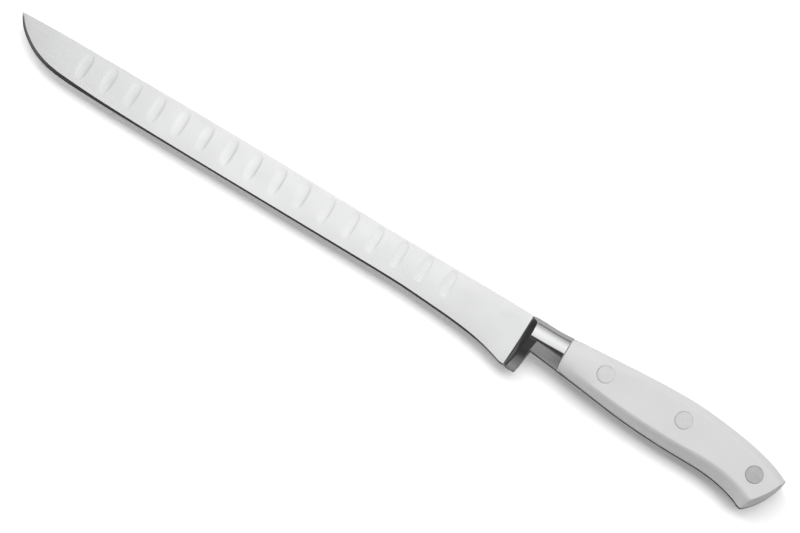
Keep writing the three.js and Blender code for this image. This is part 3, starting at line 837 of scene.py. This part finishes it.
# ------------------------------------------------------------------------- stage
def floor_sheet(name, z, tone, glow):
    s = 3.0
    me = bpy.data.meshes.new(name)
    me.from_pydata([(-s, -s, z), (s, -s, z), (s, s, z), (-s, s, z)], [], [(0, 1, 2, 3)])
    ob = bpy.data.objects.new(name, me)
    bpy.context.scene.collection.objects.link(ob)
    m, nt, b = material(name)
    n = Net(nt)
    y = n.node("ShaderNodeSeparateXYZ")
    n.put(y.inputs[0], n.coords((1, 1, 1)))
    n.put(b.inputs["Base Color"], n.smooth(y.outputs[1], -0.03, 0.03, *tone))
    b.inputs["Roughness"].default_value = 0.9
    b.inputs["Specular IOR Level"].default_value = 0.0
    b.inputs["Emission Color"].default_value = (1, 1, 1, 1)
    b.inputs["Emission Strength"].default_value = glow
    ob.data.materials.append(m)
    return ob


# the pale floor, and a greyer one that only polished metal mirrors; the greyer one is darker towards -y, painted shade
# for the side of the floor away from the lamps
floor = floor_sheet("pale_floor", -0.0004, (0.97, 0.97), 0.31)
floor.visible_glossy = False
mirrored = floor_sheet("mirrored_floor", -0.0003, (0.37, 0.5), 0.0)
mirrored.visible_camera = mirrored.visible_diffuse = mirrored.visible_shadow = False

# ------------------------------------------------------------------------ lights
scene = bpy.context.scene
scene.view_settings.view_transform = "Standard"
world = bpy.data.worlds.new("studio")
scene.world = world
world.use_nodes = True
wt = world.node_tree
wt.nodes.clear()
k = Net(wt)
wout = k.node("ShaderNodeOutputWorld")
wbg = k.node("ShaderNodeBackground")
wt.links.new(wbg.outputs[0], wout.inputs[0])
tc = k.node("ShaderNodeTexCoord")
sep = k.node("ShaderNodeSeparateXYZ")
wt.links.new(tc.outputs["Generated"], sep.inputs[0])
dx, dy, dz = sep.outputs
ax = k.math("MULTIPLY", k.math("ARCTAN2", dx, dz), 180 / math.pi)
ay = k.math("MULTIPLY", k.math("ARCTAN2", dy, dz), 180 / math.pi)
patch_y = k.math("MULTIPLY", k.smooth(ay, -13, 7), k.smooth(ay, 73, 12))
patch_y = k.math("MULTIPLY", patch_y, k.smooth(ay, 3.5, 8, 0.9, 1.08))
patch_x = k.math("MULTIPLY", k.smooth(ax, -25, -7), k.smooth(ax, 60, 30, 0.5, 1.0))
patch_x = k.math("MULTIPLY", patch_x, k.smooth(ax, -4.6, -2.5, 1.12, 0.885))
patch_x = k.math("MULTIPLY", patch_x, k.smooth(ax, -9.0, -5.5, 1.0, 1.035))
patch = k.math("MULTIPLY", patch_y, patch_x)
room = k.math("ADD", k.math("MULTIPLY", k.smooth(dz, 0.0, 0.12, 0.27, 0.0), k.math("MULTIPLY", k.smooth(dy, -0.2, 0.1, 0.1, 1.0), k.smooth(dx, -0.85, -0.4, 0.15, 1.0))),
              k.smooth(ay, -16, -32, 0.028, 0.045))
side = k.math("MULTIPLY", k.smooth(ax, -16, -26, 0.0, 0.12), k.smooth(ay, -4, -10))
behind = k.math("MULTIPLY", k.smooth(ay, 20, 42, 0.0, 0.42), k.math("ADD", k.smooth(dx, -0.1, -0.25), k.smooth(dx, 0.1, 0.25)))
right = k.math("MULTIPLY", k.smooth(dx, 0.14, 0.36, 0.0, 0.5), k.smooth(ay, 12, -6))
corner = k.math("MULTIPLY", k.smooth(dx, -0.3, -0.5, 0.0, 0.12), k.smooth(ay, -25, -40))
behind = k.math("ADD", k.math("MULTIPLY", behind, k.smooth(dx, -0.92, -0.74, 0.25, 1.0)), k.smooth(dx, -0.6, -0.85, 0.0, 0.011))
soft = k.math("ADD", k.math("ADD", behind, right), k.math("ADD", corner, side))
light = k.math("ADD", k.math("ADD", k.math("MULTIPLY", patch, 1.115), soft), room)
path = k.node("ShaderNodeLightPath")
light = k.math("ADD", k.math("MULTIPLY", light, k.math("SUBTRACT", 1.0, path.outputs["Is Camera Ray"])),
               k.math("MULTIPLY", path.outputs["Is Camera Ray"], 0.92))
wt.links.new(light, wbg.inputs["Strength"])
wbg.inputs["Color"].default_value = (1, 1, 1, 1)
world.cycles_visibility.diffuse = False


def area(name, where, aim, size, power, glossy):
    d = bpy.data.lights.new(name, "AREA")
    d.shape, d.size, d.size_y, d.energy = "RECTANGLE", size[0], size[1], power
    o = bpy.data.objects.new(name, d)
    o.location = where
    o.rotation_mode = "QUATERNION"
    o.rotation_quaternion = (Vector(aim) - Vector(where)).to_track_quat("-Z", "Y")
    o.visible_glossy = glossy
    scene.collection.objects.link(o)
    return o


knife_only = bpy.data.collections.new("knife_only")
for ob in pieces + [mirrored]:
    knife_only.objects.link(ob)
for lamp in (area("softbox", (-0.3, 0.54, 1.2), (-0.3, 0.54, 0.0), (2.0, 1.2), 20.0, False),
             area("dome", (-2.6, 0.0, 2.0), (-2.6, 0.0, 0.0), (7.0, 7.0), 75.0, False)):
    lamp.light_linking.receiver_collection = knife_only
# the floor's own light: a softbox behind and above, and low ones past the tip and the butt
floor_only = bpy.data.collections.new("floor_only")
floor_only.objects.link(floor)
for lamp in (area("floor_key", (-0.05, 0.48, 1.2), (-0.05, 0.48, 0.0), (2.4, 0.85), 26.0, False),
             area("tip_fill", (-1.2, 0.1, 0.3), (-0.15, 0.0, 0.0), (0.25, 0.6), 5.0, False),
             area("butt_fill", (1.2, 0.3, 0.4), (0.18, 0.0, 0.0), (0.25, 0.6), 0.8, False)):
    lamp.light_linking.receiver_collection = floor_only
